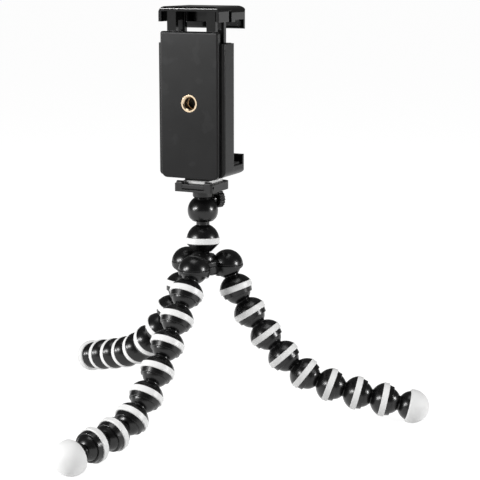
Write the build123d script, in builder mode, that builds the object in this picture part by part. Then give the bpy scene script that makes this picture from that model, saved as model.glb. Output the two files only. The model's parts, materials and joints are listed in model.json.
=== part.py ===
from build123d import *

import math
import os

# Flexible leg tripod: three ball chain legs on a hub, a neck with a ball head,
# a quick release platform and a spring clamp that holds a phone on its edge.
# Millimetres and degrees, +Z up, X along the held phone, the clamp's plate facing -Y.
# The origin is on the ground, under the middle of the part's outer box.

# Ball chain legs
LEG_PITCH = 13.5  # from one ball's centre to the next
LEG_SEGMENTS = 8
BALL_RADIUS = 6.5
BALL_FLAT = 4.5  # from a ball's centre to the flat at its end
BALL_FIT = 0.08  # radial running clearance of every ball in its cup
CUP_WALL = 1.96
NECK_RADIUS = 3.6  # waist between a ball and the dome behind it
RING_WIDTH = 3.0
RING_RADIUS = 8.2
RING_SEAT_RADIUS = 7.0
RING_SEAT_START = 3.2  # from the next ball's centre back to the ring's near side
RING_ROUNDING = 0.35
RING_GLUE = 0.02  # film of glue round a ring or a foot cap
RIM_RADIUS = 7.5  # black rim that the next ball snaps into
RIM_LIP_RADIUS = 7.0
RIM_DEPTH = 2.2  # from the next ball's centre out to the rim's edge
RIM_ROUNDING = 0.35

# Feet
FOOT_REACH = 12.45  # from the last ball's centre to the cap's centre
FOOT_CAP_RADIUS = 8.2
FOOT_CAP_FLAT = 2.3  # from the cap's centre back to its flat
FOOT_CAP_ROUNDING = 1.0
FOOT_DOME_RADIUS = 7.4
FOOT_SPIGOT_RADIUS = 4.6
FOOT_SPIGOT_LENGTH = 5.0

# Hub
HUB_HEIGHT = 76.0  # from the ground to the hub's centre
HUB_HEADING = 36.6  # heading of the right leg's lobe
LOBE_REACH = 12.1
LOBE_DROP = 1.6
LOBE_RADIUS = 7.7
LOBE_OPENING = 66.0  # half angle of a lobe's opening, seen from its centre
LOBE_TILT = 20.0  # how far the opening leans outward from straight down
HUB_RADIUS = 8.4
HUB_TOP = 2.0
HUB_BOTTOM = 5.0
HUB_ROUNDING = 1.0
SEAM_DROP = 0.8
SEAM_DEPTH = 0.4
SEAM_HEIGHT = 0.25
HUB_SCREW_REACH = 6.6
HUB_SCREW_RADIUS = 0.85
HUB_SCREW_LENGTH = 6.0
HUB_SCREW_HEAD_RADIUS = 1.5
HUB_SCREW_HEAD = 1.1
HUB_SCREW_CROSS = 0.3  # width and depth of the cross cut in a hub screw's head
SCREW_CLEARANCE = 0.05

# Neck between the hub and the ball head
NECK_PIVOT_RISE = 1.2  # from the hub's centre up to the neck's lower ball
NECK_LENGTH = 24.4
NECK_LEAN = 4.8
NECK_HEADING = 115.0
NECK_BALL_RADIUS = 5.0
NECK_BALL_FLAT = 4.0
NECK_CUP_RADIUS = 6.4
NECK_OPENING = 55.0  # half angle of the hub's top opening
NECK_WAIST_RADIUS = 3.0
NECK_FLARE_RADIUS = 4.3
NECK_FLARE_RISE = 0.5
NECK_RIM_RADIUS = 7.9
NECK_RING_HEIGHT = 9.8  # from the lower ball's centre to the ring's middle
NECK_RIM_EDGE = 0.2
NECK_DOME_RADIUS = 8.0
NECK_TOP_RADIUS = 3.2

# Ball head
HEAD_BALL_RADIUS = 6.0
HEAD_RADIUS = 7.4
HEAD_FACET_DROP = 3.65
COLLAR_DROP = 4.95
COLLAR_OPENING = 48.0
COLLAR_LIP = 0.45
FLANGE_RADIUS = 4.9
FLANGE_START = 7.0
FLANGE_SLOPE = 0.8
FLANGE_TOP = 10.05
KNOB_HEADING = 59.0
KNOB_HEIGHT = 4.9
KNOB_RADIUS = 4.3
KNOB_THICKNESS = 3.2
KNOB_DISTANCE = 7.3
KNOB_ROUNDING = 0.6
KNOB_FLUTES = 18
KNOB_FLUTE_RADIUS = 0.45
LOCK_SCREW_RADIUS = 1.25
LOCK_SCREW_IN_KNOB = 2.2
LOCK_BOSS_RADIUS = 2.3
LOCK_BOSS_END = 6.9

# Quick release platform, measured from its underside
PLATFORM_GAP = 0.1
PLATFORM_WIDTH = 20.4
PLATFORM_DEPTH = 20.6
PLATFORM_HEIGHT = 3.9
PLATFORM_REAR_CORNER = 4.0
PLATFORM_FRONT_CORNER = 1.2
PLATFORM_FLOOR = 2.0
LEVER_FLOOR = 1.1
SHOE_WIDTH = 15.2
SHOE_REAR_WALL = 2.3
SHOE_DOVETAIL = 0.8
SHOE_FIT = 0.1
SHOE_THICKNESS = 3.0
LUG_DEPTH = 2.6
LUG_WIDTH = 3.0
LUG_SPACING = 12.0
LUG_TOP = 5.2
LUG_ROUNDING = 1.0
LEVER_PIN_RADIUS = 0.7
LEVER_PIN_HEIGHT = 2.6
LEVER_PIN_PROUD = 0.15
LEVER_HEIGHT = 2.4
LEVER_FRONT = 1.2
LEVER_BACK = 0.7
LEVER_ROUNDING = 0.5
LEVER_LIP_REACH = 1.3
LEVER_LIP = 0.6
LEVER_SIDE_GAP = 0.1
SHOE_LEDGE_DEPTH = 1.0
SHOE_PAD = 1.9
PAD_INSET = 0.4
PLATFORM_SCREW_RADIUS = 1.2
PLATFORM_SCREW_LENGTH = 3.4
PLATFORM_SCREW_HEAD_RADIUS = 2.2
PLATFORM_SCREW_HEAD = 1.1
PLATFORM_SCREW_SEAT = 0.7
THREAD_RADIUS = 2.76  # 1/4 inch, 20 turns per inch, at its pitch diameter
THREAD_FIT = 0.03
MOUNTING_SCREW_REACH = 4.2  # into the clamp
MOUNTING_SCREW_HEAD_RADIUS = 5.4
MOUNTING_SCREW_HEAD = 1.4
COIN_SLOT_WIDTH = 1.2
COIN_SLOT_DEPTH = 0.7

# Phone clamp, measured from the plate's face and from its underside
HEAD_DEPTH = 13.8  # from the plate's face back to the head's axis
PLATE_WIDTH = 30.4
PLATE_HEIGHT = 69.0
PLATE_THICKNESS = 2.35
PLATE_CORNER = 3.0
PLATE_TOP_CORNER = 1.0
PLATE_ROUNDING = 0.9
FLANK_WIDTH = 35.0
FLANK_BACK = 12.2
FLANK_ROUNDING = 1.2
BODY_HEIGHT = 63.5
BODY_BACK = 15.4
BODY_ROOM_WIDTH = 25.8
BODY_ROOM_BACK = 14.2
BODY_FLOOR = 1.6
PHONE_PLANE = 16.85  # the phone's back, behind the plate's face
JAW_FLOOR = 5.85
JAW_END = 29.6
JAW_LIP = 3.0
JAW_LIP_HEIGHT = 3.6
JAW_CORNER = 4.0
JAW_LIP_ROUNDING = 1.2
JAW_PLAN_CORNER = 2.0
OPENING_HEIGHT = 67.3  # between the jaws, as photographed
PAD_THICKNESS = 1.0
PAD_SINK = 0.02
BACK_PAD_HEIGHT = 53.0
BACK_PAD_START = 8.0
BACK_PAD_CORNER = 2.0
JAW_PAD_WIDTH = 27.0
JAW_PAD_SIDE = 0.6
CAP_WIDTH = 31.6
CAP_TOP = 80.5
CAP_THICKNESS = 2.2
CAP_ROUNDING = 3.0
CAP_FRONT_ROUNDING = 1.2
CAP_WALL_START = 13.4
SKIRT_THICKNESS = 1.5
SKIRT_BACK = 10.3
SKIRT_LOW = 73.4
POST_INSIDE = 8.0
POST_OUTSIDE = 12.65
POST_THICKNESS = 2.4
POST_GAP = 0.25
POST_FOOT = 30.0
POST_FOOT_HEIGHT = 3.0
SPRING_RADIUS = 2.1
SPRING_BORE = 1.4
SPRING_GAP = 0.05
SPRING_PEG_RADIUS = 1.2
SPRING_PEG_HEIGHT = 1.6
INSERT_HEIGHT = 35.6
INSERT_RADIUS = 4.1
INSERT_LENGTH = 5.2
INSERT_CHAMFER = 0.6
INSERT_BOSS_RADIUS = 5.8
BASE_INSERT_LENGTH = 4.6
BASE_BLOCK_WIDTH = 14.0
COVER_SCREW_ACROSS = 5.0
COVER_SCREW_HEIGHTS = (13.0, 57.0)
COVER_SCREW_RADIUS = 0.9
COVER_SCREW_LENGTH = 8.0
COVER_SCREW_HEAD_RADIUS = 1.7
COVER_SCREW_HEAD = 0.9
COVER_BOSS_RADIUS = 2.2
COVER_BOSS_GAP = 0.1

OVERRUN = 5.0  # how far a cut runs past the face that it opens

# Photographed pose of each leg: heading and downward slope of its eight segments and foot
RIGHT_HEADINGS = (-1, 7, 9, 9, 12, 17, 18, 19, 22)
RIGHT_SLOPES = (67, 57, 52, 48, 37, 20, 15, 12, 13)
FRONT_HEADINGS = (-94, -97, -95, -95, -96, -99, -101, -101, -102)
FRONT_SLOPES = (52, 52, 51, 50, 45, 34, 14, 4, 7)
REAR_HEADINGS = (-120, -178, 163, 155, 149, 148, 149, 149, 147)
REAR_SLOPES = (75, 66, 52, 40, 29, 21, 17, 16, 16)

CUP_RADIUS = BALL_RADIUS + BALL_FIT
DOME_RADIUS = CUP_RADIUS + CUP_WALL
LOBE_SPACING = 360 / 3
LEGS = {
    "right_leg": (HUB_HEADING, RIGHT_HEADINGS, RIGHT_SLOPES),
    "front_leg": (HUB_HEADING - LOBE_SPACING, FRONT_HEADINGS, FRONT_SLOPES),
    "rear_leg": (HUB_HEADING + LOBE_SPACING, REAR_HEADINGS, REAR_SLOPES),
}


def sine(angle):
    return math.sin(math.radians(angle))


def cosine(angle):
    return math.cos(math.radians(angle))


def chord(radius, offset):
    """Half the chord of a circle at a distance from its centre."""
    return math.sqrt(radius**2 - offset**2)


def level(heading):
    """Level unit vector at a heading."""
    return Vector(cosine(heading), sine(heading), 0)


def downward(heading, slope):
    """Unit vector at a heading that slopes down."""
    return level(heading) * cosine(slope) - Vector(0, 0, sine(slope))


def settle(slopes):
    """Slopes turned by one small common angle, so that the foot stands on the ground."""
    lengths = [LEG_PITCH] * LEG_SEGMENTS + [FOOT_REACH]
    fall = HUB_HEIGHT - LOBE_DROP - FOOT_CAP_RADIUS
    rise = sum(length * sine(slope) for length, slope in zip(lengths, slopes))
    run = sum(length * cosine(slope) for length, slope in zip(lengths, slopes))
    turn = math.degrees(math.asin(fall / math.hypot(rise, run)) - math.atan2(rise, run))
    return [slope + turn for slope in slopes]


def leg_frames(hub, lobe_heading, headings, slopes):
    """Frames of a leg's balls: origin at the ball's centre, z along the piece, x level."""
    point = hub + level(lobe_heading) * LOBE_REACH - Vector(0, 0, LOBE_DROP)
    frames = []
    for heading, slope in zip(headings, settle(slopes)):
        along = downward(heading, slope)
        frames.append(Plane(origin=point, x_dir=level(heading + 90), z_dir=along))
        point = point + along * LEG_PITCH
    return frames


def foot_centre(frames):
    return frames[-1].origin + frames[-1].z_dir * FOOT_REACH


def centred_hub():
    """The hub's centre, placed so that the feet's outer box is centred on the origin."""
    hub = Vector(0, 0, HUB_HEIGHT)
    feet = [foot_centre(leg_frames(hub, *leg)) for leg in LEGS.values()]
    across = [foot.X for foot in feet]
    along = [foot.Y for foot in feet]
    return hub - Vector(max(across) + min(across), max(along) + min(along), 0) / 2


HUB = centred_hub()
LEG_FRAMES = {name: leg_frames(HUB, *leg) for name, leg in LEGS.items()}
NECK_AXIS = downward(NECK_HEADING, NECK_LEAN - 90)
NECK = Plane(
    origin=HUB + Vector(0, 0, NECK_PIVOT_RISE),
    x_dir=level(NECK_HEADING + 90),
    z_dir=NECK_AXIS,
)
HEAD_CENTRE = NECK.origin + NECK_AXIS * NECK_LENGTH
HEAD = Plane(origin=HEAD_CENTRE)
PLATFORM = HEAD.offset(FLANGE_TOP + PLATFORM_GAP)
SHOE_BASE = PLATFORM_FLOOR + SHOE_FIT
SHOE_TOP = SHOE_BASE + SHOE_THICKNESS
CLAMP_BASE = SHOE_TOP + SHOE_PAD
CLAMP_ORIGIN = PLATFORM.offset(CLAMP_BASE).origin - Vector(0, HEAD_DEPTH, 0)
PLATFORM_FRONT = PLATFORM_DEPTH / 2
LUG_MIDDLE = PLATFORM_FRONT - LUG_DEPTH / 2
SHOE_FRONT = PLATFORM_FRONT - LUG_DEPTH
SHOE_BACK = PLATFORM_FRONT - SHOE_REAR_WALL
JAW_TOP = JAW_FLOOR + OPENING_HEIGHT


def half_section(frame):
    """Plane through a frame's axis: x runs out from the axis, y along it."""
    return Plane(origin=frame.origin, x_dir=frame.x_dir, z_dir=frame.x_dir.cross(frame.z_dir))


def spin(frame, mode=Mode.ADD):
    """Turn the section just drawn all the way round a frame's axis."""
    revolve(axis=Axis(frame.origin, frame.z_dir), mode=mode)


def bow(centre, radius, start, end):
    """Arc of a circle centred on the axis, between two heights along it."""
    first = math.degrees(math.asin((start - centre) / radius))
    last = math.degrees(math.asin((end - centre) / radius))
    CenterArc((0, centre), radius, first, last - first)


def clamp_face(depth):
    """Plane facing forward at a depth behind the plate's face: x across, y up."""
    return Plane(origin=CLAMP_ORIGIN + Vector(0, depth, 0), x_dir=(1, 0, 0), z_dir=(0, -1, 0))


def clamp_side():
    """Middle plane of the clamp: x runs back from the plate's face, y up."""
    return Plane(origin=CLAMP_ORIGIN, x_dir=(0, 1, 0), z_dir=(1, 0, 0))


def box_between(low, high):
    """Rectangle between two corners of the sketch plane."""
    with Locations(((low[0] + high[0]) / 2, (low[1] + high[1]) / 2)):
        Rectangle(high[0] - low[0], high[1] - low[1])


def save(piece, name):
    piece.part.label = name
    export_step(piece.part, f"parts/{name}.step")


def ring_section(seat):
    """Section of a white ring on its seat, with its outer edges rounded."""
    low = (RING_SEAT_RADIUS + RING_GLUE, seat + RING_GLUE)
    box_between(low, (RING_RADIUS, seat + RING_WIDTH - RING_GLUE))
    fillet(vertices().sort_by(Axis.X)[-2:], RING_ROUNDING)


def leg_segment(name, frame):
    """One black ball and cup with the white ring on its cup."""
    seat = LEG_PITCH - RING_SEAT_START
    rim = seat + RING_WIDTH
    edge = LEG_PITCH + RIM_DEPTH
    waist = chord(BALL_RADIUS, NECK_RADIUS)
    dome = LEG_PITCH - chord(DOME_RADIUS, NECK_RADIUS)
    with BuildPart() as segment:
        with BuildSketch(half_section(frame)):
            with BuildLine():
                Line((0, -BALL_FLAT), (chord(BALL_RADIUS, BALL_FLAT), -BALL_FLAT))
                bow(0, BALL_RADIUS, -BALL_FLAT, waist)
                Line((NECK_RADIUS, waist), (NECK_RADIUS, dome))
                bow(LEG_PITCH, DOME_RADIUS, dome, seat)
                Polyline(
                    (chord(DOME_RADIUS, RING_SEAT_START), seat),
                    (RING_SEAT_RADIUS, seat),
                    (RING_SEAT_RADIUS, rim),
                    (RIM_RADIUS, rim),
                    (RIM_LIP_RADIUS, edge),
                    (chord(CUP_RADIUS, RIM_DEPTH), edge),
                )
                bow(LEG_PITCH, CUP_RADIUS, edge, LEG_PITCH - CUP_RADIUS)
                Line((0, LEG_PITCH - CUP_RADIUS), (0, -BALL_FLAT))
            make_face()
            rim_corner = vertices().group_by(Axis.Y)[-1].sort_by(Axis.X)[-1]
            fillet(rim_corner, RIM_ROUNDING)
        spin(frame)
        with BuildSketch(half_section(frame)):
            ring_section(seat)
        spin(frame)
    save(segment, name)


def foot_core(name, frame):
    """Black ball and dome with the spigot that carries a foot's cap."""
    flat = FOOT_REACH - FOOT_CAP_FLAT
    waist = chord(BALL_RADIUS, NECK_RADIUS)
    dome = FOOT_REACH - chord(FOOT_DOME_RADIUS, NECK_RADIUS)
    with BuildPart() as core:
        with BuildSketch(half_section(frame)):
            with BuildLine():
                Line((0, -BALL_FLAT), (chord(BALL_RADIUS, BALL_FLAT), -BALL_FLAT))
                bow(0, BALL_RADIUS, -BALL_FLAT, waist)
                Line((NECK_RADIUS, waist), (NECK_RADIUS, dome))
                bow(FOOT_REACH, FOOT_DOME_RADIUS, dome, flat)
                Polyline(
                    (chord(FOOT_DOME_RADIUS, FOOT_CAP_FLAT), flat),
                    (FOOT_SPIGOT_RADIUS, flat),
                    (FOOT_SPIGOT_RADIUS, flat + FOOT_SPIGOT_LENGTH),
                    (0, flat + FOOT_SPIGOT_LENGTH),
                    (0, -BALL_FLAT),
                )
            make_face()
        spin(frame)
    save(core, name)


def foot_cap(name, frame):
    """White rubber foot, pressed and glued on its spigot."""
    flat = FOOT_REACH - FOOT_CAP_FLAT + RING_GLUE
    bore = FOOT_SPIGOT_RADIUS + RING_GLUE
    bore_end = flat + FOOT_SPIGOT_LENGTH + RING_GLUE
    with BuildPart() as cap:
        with BuildSketch(half_section(frame)):
            with BuildLine():
                Line((bore, flat), (chord(FOOT_CAP_RADIUS, FOOT_REACH - flat), flat))
                bow(FOOT_REACH, FOOT_CAP_RADIUS, flat, FOOT_REACH + FOOT_CAP_RADIUS)
                Polyline(
                    (0, FOOT_REACH + FOOT_CAP_RADIUS),
                    (0, bore_end),
                    (bore, bore_end),
                    (bore, flat),
                )
            make_face()
            rear_corner = vertices().group_by(Axis.Y)[0].sort_by(Axis.X)[-1]
            fillet(rear_corner, FOOT_CAP_ROUNDING)
        spin(frame)
    save(cap, name)


def lobe_directions():
    return [level(heading) for heading, _, _ in LEGS.values()]


def screw_points(height):
    """Places of the hub's screws, midway between its lobes, in the hub's own frame."""
    headings = [heading + LOBE_SPACING / 2 for heading, _, _ in LEGS.values()]
    return [level(heading) * HUB_SCREW_REACH + Vector(0, 0, height) for heading in headings]


def hub_shell(name, keep, groove_sign):
    """One half of the hub: three lobes on a round core, split along a level seam."""
    hub = Plane(origin=HUB)
    lobes = [way * LOBE_REACH - Vector(0, 0, LOBE_DROP) for way in lobe_directions()]
    neck_centre = (0, 0, NECK_PIVOT_RISE)
    neck_room = NECK_BALL_RADIUS + BALL_FIT
    opening = neck_room * cosine(NECK_OPENING) / NECK_CUP_RADIUS
    with BuildPart(hub) as shell:
        with BuildSketch(hub.offset(-HUB_BOTTOM)):
            Circle(HUB_RADIUS)
        extrude(amount=HUB_BOTTOM + HUB_TOP)
        fillet(shell.edges().filter_by(GeomType.CIRCLE), HUB_ROUNDING)
        with Locations(*lobes):
            Sphere(LOBE_RADIUS)
        with Locations(neck_centre):
            Sphere(NECK_CUP_RADIUS, arc_size2=math.degrees(math.asin(opening)), align=None)
            Sphere(neck_room, mode=Mode.SUBTRACT)
        with Locations(*lobes):
            Sphere(CUP_RADIUS, mode=Mode.SUBTRACT)
        for heading, _, _ in LEGS.values():
            centre = HUB + level(heading) * LOBE_REACH - Vector(0, 0, LOBE_DROP)
            mouth = Plane(origin=centre, z_dir=downward(heading, 90 - LOBE_TILT))
            with BuildSketch(mouth.offset(CUP_RADIUS * cosine(LOBE_OPENING))):
                Circle(LOBE_RADIUS)
            extrude(amount=LOBE_RADIUS, mode=Mode.SUBTRACT)
        with Locations(*screw_points(-HUB_BOTTOM - OVERRUN)):
            Cylinder(
                HUB_SCREW_HEAD_RADIUS + SCREW_CLEARANCE,
                OVERRUN + HUB_SCREW_HEAD + SCREW_CLEARANCE,
                align=(Align.CENTER, Align.CENTER, Align.MIN),
                mode=Mode.SUBTRACT,
            )
            Cylinder(
                HUB_SCREW_RADIUS + SCREW_CLEARANCE,
                OVERRUN + HUB_SCREW_LENGTH + SCREW_CLEARANCE,
                align=(Align.CENTER, Align.CENTER, Align.MIN),
                mode=Mode.SUBTRACT,
            )
        split(bisect_by=hub.offset(-SEAM_DROP), keep=keep)
        with BuildSketch(hub.offset(-SEAM_DROP)):
            Circle(LOBE_REACH + LOBE_RADIUS + OVERRUN)
            Circle(HUB_RADIUS - SEAM_DEPTH, mode=Mode.SUBTRACT)
            with Locations(*[(way.X * LOBE_REACH, way.Y * LOBE_REACH) for way in lobe_directions()]):
                Circle(chord(LOBE_RADIUS, LOBE_DROP - SEAM_DROP) - SEAM_DEPTH, mode=Mode.SUBTRACT)
        extrude(amount=groove_sign * SEAM_HEIGHT, mode=Mode.SUBTRACT)
    save(shell, name)


def hub_screws():
    """Three screws that hold the hub's halves together, driven from below."""
    with BuildPart(Plane(origin=HUB)) as screws:
        with Locations(*screw_points(-HUB_BOTTOM)):
            Cylinder(
                HUB_SCREW_RADIUS,
                HUB_SCREW_LENGTH,
                align=(Align.CENTER, Align.CENTER, Align.MIN),
            )
            Cylinder(
                HUB_SCREW_HEAD_RADIUS,
                HUB_SCREW_HEAD,
                align=(Align.CENTER, Align.CENTER, Align.MIN),
            )
            Box(
                HUB_SCREW_HEAD_RADIUS,
                HUB_SCREW_CROSS,
                HUB_SCREW_CROSS,
                align=(Align.CENTER, Align.CENTER, Align.MIN),
                mode=Mode.SUBTRACT,
            )
            Box(
                HUB_SCREW_CROSS,
                HUB_SCREW_HEAD_RADIUS,
                HUB_SCREW_CROSS,
                align=(Align.CENTER, Align.CENTER, Align.MIN),
                mode=Mode.SUBTRACT,
            )
    save(screws, "hub_screws")


def neck_segment():
    """Black neck: small ball below, cone, ring seat, dome and the head's ball above."""
    seat = NECK_RING_HEIGHT - RING_WIDTH / 2
    rim = seat + RING_WIDTH
    waist = chord(NECK_BALL_RADIUS, NECK_WAIST_RADIUS)
    dome_centre = rim - chord(NECK_DOME_RADIUS, NECK_RIM_RADIUS)
    dome_top = dome_centre + chord(NECK_DOME_RADIUS, NECK_TOP_RADIUS)
    ball_start = NECK_LENGTH - chord(HEAD_BALL_RADIUS, NECK_TOP_RADIUS)
    rim_low = seat - NECK_RIM_EDGE
    with BuildPart() as neck:
        with BuildSketch(half_section(NECK)):
            with BuildLine():
                Line((0, -NECK_BALL_FLAT), (chord(NECK_BALL_RADIUS, NECK_BALL_FLAT), -NECK_BALL_FLAT))
                bow(0, NECK_BALL_RADIUS, -NECK_BALL_FLAT, waist)
                Polyline(
                    (NECK_WAIST_RADIUS, waist),
                    (NECK_FLARE_RADIUS, waist + NECK_FLARE_RISE),
                    (NECK_RIM_RADIUS, rim_low),
                    (NECK_RIM_RADIUS, seat),
                    (RING_SEAT_RADIUS, seat),
                    (RING_SEAT_RADIUS, rim),
                    (NECK_RIM_RADIUS, rim),
                )
                bow(dome_centre, NECK_DOME_RADIUS, rim, dome_top)
                Line((NECK_TOP_RADIUS, dome_top), (NECK_TOP_RADIUS, ball_start))
                bow(NECK_LENGTH, HEAD_BALL_RADIUS, ball_start, NECK_LENGTH + HEAD_BALL_RADIUS)
                Line((0, NECK_LENGTH + HEAD_BALL_RADIUS), (0, -NECK_BALL_FLAT))
            make_face()
        spin(NECK)
    save(neck, "neck_segment")


def neck_ring():
    """White ring round the neck."""
    with BuildPart() as ring:
        with BuildSketch(half_section(NECK)):
            ring_section(NECK_RING_HEIGHT - RING_WIDTH / 2)
        spin(NECK)
    save(ring, "neck_ring")


def knob_frame(distance):
    """Plane square to the lock screw, at a distance from the head's axis."""
    way = level(KNOB_HEADING)
    centre = HEAD_CENTRE + way * distance + Vector(0, 0, KNOB_HEIGHT)
    return Plane(origin=centre, x_dir=(0, 0, 1), z_dir=way)


def lock_tip_distance():
    """Where the centre of the lock screw's round tip lies when it bears on the ball."""
    return chord(HEAD_BALL_RADIUS + BALL_FIT + LOCK_SCREW_RADIUS, KNOB_HEIGHT)


def head_housing():
    """Round housing over the neck's ball, with the flange that carries the platform."""
    shoulder = chord(HEAD_RADIUS, HEAD_FACET_DROP)
    slope_start = FLANGE_START - FLANGE_SLOPE
    with BuildPart() as housing:
        with BuildSketch(half_section(HEAD)):
            with BuildLine():
                Line((0, -HEAD_FACET_DROP), (shoulder, -HEAD_FACET_DROP))
                bow(0, HEAD_RADIUS, -HEAD_FACET_DROP, slope_start)
                Polyline(
                    (chord(HEAD_RADIUS, slope_start), slope_start),
                    (FLANGE_RADIUS, FLANGE_START),
                    (FLANGE_RADIUS, FLANGE_TOP),
                    (0, FLANGE_TOP),
                    (0, -HEAD_FACET_DROP),
                )
            make_face()
        spin(HEAD)
        tip = lock_tip_distance()
        with BuildSketch(knob_frame(tip)):
            Circle(LOCK_BOSS_RADIUS)
        extrude(amount=LOCK_BOSS_END - tip)
        with Locations(HEAD_CENTRE):
            Sphere(HEAD_BALL_RADIUS + BALL_FIT, mode=Mode.SUBTRACT)
        screw_room = LOCK_SCREW_RADIUS + SCREW_CLEARANCE
        with BuildSketch(knob_frame(tip - screw_room)):
            Circle(screw_room)
        extrude(amount=LOCK_BOSS_END + OVERRUN, mode=Mode.SUBTRACT)
        with BuildSketch(HEAD.offset(FLANGE_TOP)):
            Circle(PLATFORM_SCREW_RADIUS + SCREW_CLEARANCE)
        extrude(amount=-PLATFORM_SCREW_LENGTH, mode=Mode.SUBTRACT)
    save(housing, "head_housing")


def head_collar():
    """Ring that closes the housing under the ball."""
    ball_room = HEAD_BALL_RADIUS + BALL_FIT
    lip_drop = ball_room * cosine(COLLAR_OPENING)
    slope = COLLAR_DROP - HEAD_FACET_DROP
    outside = chord(HEAD_RADIUS, HEAD_FACET_DROP)
    with BuildPart() as collar:
        with BuildSketch(half_section(HEAD)):
            with BuildLine():
                Polyline(
                    (chord(ball_room, HEAD_FACET_DROP), -HEAD_FACET_DROP),
                    (outside, -HEAD_FACET_DROP),
                    (outside - slope, -COLLAR_DROP),
                    (outside - slope - COLLAR_LIP, -COLLAR_DROP),
                    (ball_room * sine(COLLAR_OPENING), -lip_drop),
                )
                bow(0, ball_room, -lip_drop, -HEAD_FACET_DROP)
            make_face()
        spin(HEAD)
    save(collar, "head_collar")


def lock_knob():
    """Fluted knob on the head's lock screw."""
    with BuildPart() as knob:
        with BuildSketch(knob_frame(KNOB_DISTANCE)):
            Circle(KNOB_RADIUS)
            with PolarLocations(KNOB_RADIUS, KNOB_FLUTES):
                Circle(KNOB_FLUTE_RADIUS, mode=Mode.SUBTRACT)
        extrude(amount=KNOB_THICKNESS)
        ends = knob.faces().filter_by(GeomType.PLANE)
        chamfer(ends.edges(), KNOB_ROUNDING / 2)
        with BuildSketch(knob_frame(KNOB_DISTANCE)):
            Circle(LOCK_SCREW_RADIUS)
        extrude(amount=LOCK_SCREW_IN_KNOB, mode=Mode.SUBTRACT)
    save(knob, "lock_knob")


def lock_screw():
    """Lock screw: its round tip bears on the ball, its other end is fixed in the knob."""
    tip = lock_tip_distance()
    frame = knob_frame(tip)
    with BuildPart() as screw:
        with BuildSketch(frame):
            Circle(LOCK_SCREW_RADIUS)
        extrude(amount=KNOB_DISTANCE + LOCK_SCREW_IN_KNOB - tip)
        with Locations(frame.origin):
            Sphere(LOCK_SCREW_RADIUS)
    save(screw, "lock_screw")


def platform_outline():
    """Outline of the platform with small front corners and wide rear ones."""
    Rectangle(PLATFORM_WIDTH, PLATFORM_DEPTH)
    fillet(vertices().group_by(Axis.Y)[-1], PLATFORM_REAR_CORNER)
    fillet(vertices().group_by(Axis.Y)[0], PLATFORM_FRONT_CORNER)


def dovetail(spare):
    """Section of the shoe's dovetail, seen from the front, with a clearance all round."""
    half = SHOE_WIDTH / 2 + spare
    top = PLATFORM_HEIGHT - SHOE_BASE
    Polygon(
        (-half, -spare),
        (half, -spare),
        (half - SHOE_DOVETAIL, top),
        (-half + SHOE_DOVETAIL, top),
        align=None,
    )


def shoe_section(depth):
    """Plane facing forward at a depth of the platform, its origin under the shoe."""
    centre = PLATFORM.offset(SHOE_BASE).origin + Vector(0, depth, 0)
    return Plane(origin=centre, x_dir=(1, 0, 0), z_dir=(0, -1, 0))


def lug_centres():
    across = (LUG_SPACING + LUG_WIDTH) / 2
    return [(-across, -LUG_MIDDLE), (across, -LUG_MIDDLE)]


def pin_section(across):
    """Plane square to the lever's pin, at a distance across the platform."""
    centre = PLATFORM.offset(LEVER_PIN_HEIGHT).origin + Vector(across, -LUG_MIDDLE, 0)
    return Plane(origin=centre, x_dir=(0, 1, 0), z_dir=(1, 0, 0))


def platform_base():
    """Platform with its dovetail bed, and two lugs in front for the release lever."""
    with BuildPart() as platform:
        with BuildSketch(PLATFORM):
            platform_outline()
        extrude(amount=PLATFORM_HEIGHT)
        with BuildSketch(PLATFORM.offset(LEVER_FLOOR)):
            with Locations((0, -LUG_MIDDLE)):
                Rectangle(LUG_SPACING, LUG_DEPTH)
        extrude(amount=PLATFORM_HEIGHT, mode=Mode.SUBTRACT)
        with BuildSketch(shoe_section(SHOE_BACK)):
            dovetail(SHOE_FIT)
        extrude(amount=SHOE_BACK + SHOE_FRONT, mode=Mode.SUBTRACT)
        with BuildSketch(PLATFORM):
            with Locations(*lug_centres()):
                Rectangle(LUG_WIDTH, LUG_DEPTH)
        extrude(amount=LUG_TOP)
        tops = platform.faces().sort_by(Axis.Z)[-2:]
        fillet(tops.edges().filter_by(Axis.X), LUG_ROUNDING)
        with BuildSketch(pin_section(0)):
            Circle(LEVER_PIN_RADIUS)
        extrude(amount=PLATFORM_WIDTH, both=True, mode=Mode.SUBTRACT)
        with BuildSketch(PLATFORM):
            Circle(PLATFORM_SCREW_RADIUS + SCREW_CLEARANCE)
        extrude(amount=PLATFORM_FLOOR, mode=Mode.SUBTRACT)
        with BuildSketch(PLATFORM.offset(PLATFORM_SCREW_SEAT)):
            Circle(PLATFORM_SCREW_HEAD_RADIUS + SCREW_CLEARANCE)
        extrude(amount=PLATFORM_FLOOR, mode=Mode.SUBTRACT)
    save(platform, "platform_base")


def platform_screw():
    """Screw fixed in the head's flange, on which the platform turns."""
    seat = PLATFORM.offset(PLATFORM_SCREW_SEAT + SCREW_CLEARANCE)
    with BuildPart() as screw:
        with BuildSketch(seat):
            Circle(PLATFORM_SCREW_HEAD_RADIUS)
        extrude(amount=PLATFORM_SCREW_HEAD)
        with BuildSketch(seat):
            Circle(PLATFORM_SCREW_RADIUS)
        extrude(amount=-PLATFORM_SCREW_LENGTH)
        with BuildSketch(seat.offset(PLATFORM_SCREW_HEAD)):
            Rectangle(2 * PLATFORM_SCREW_RADIUS, PLATFORM_SCREW_HEAD / 2)
            Rectangle(PLATFORM_SCREW_HEAD / 2, 2 * PLATFORM_SCREW_RADIUS)
        extrude(amount=-PLATFORM_SCREW_HEAD / 2, mode=Mode.SUBTRACT)
    save(screw, "platform_screw")


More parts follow.
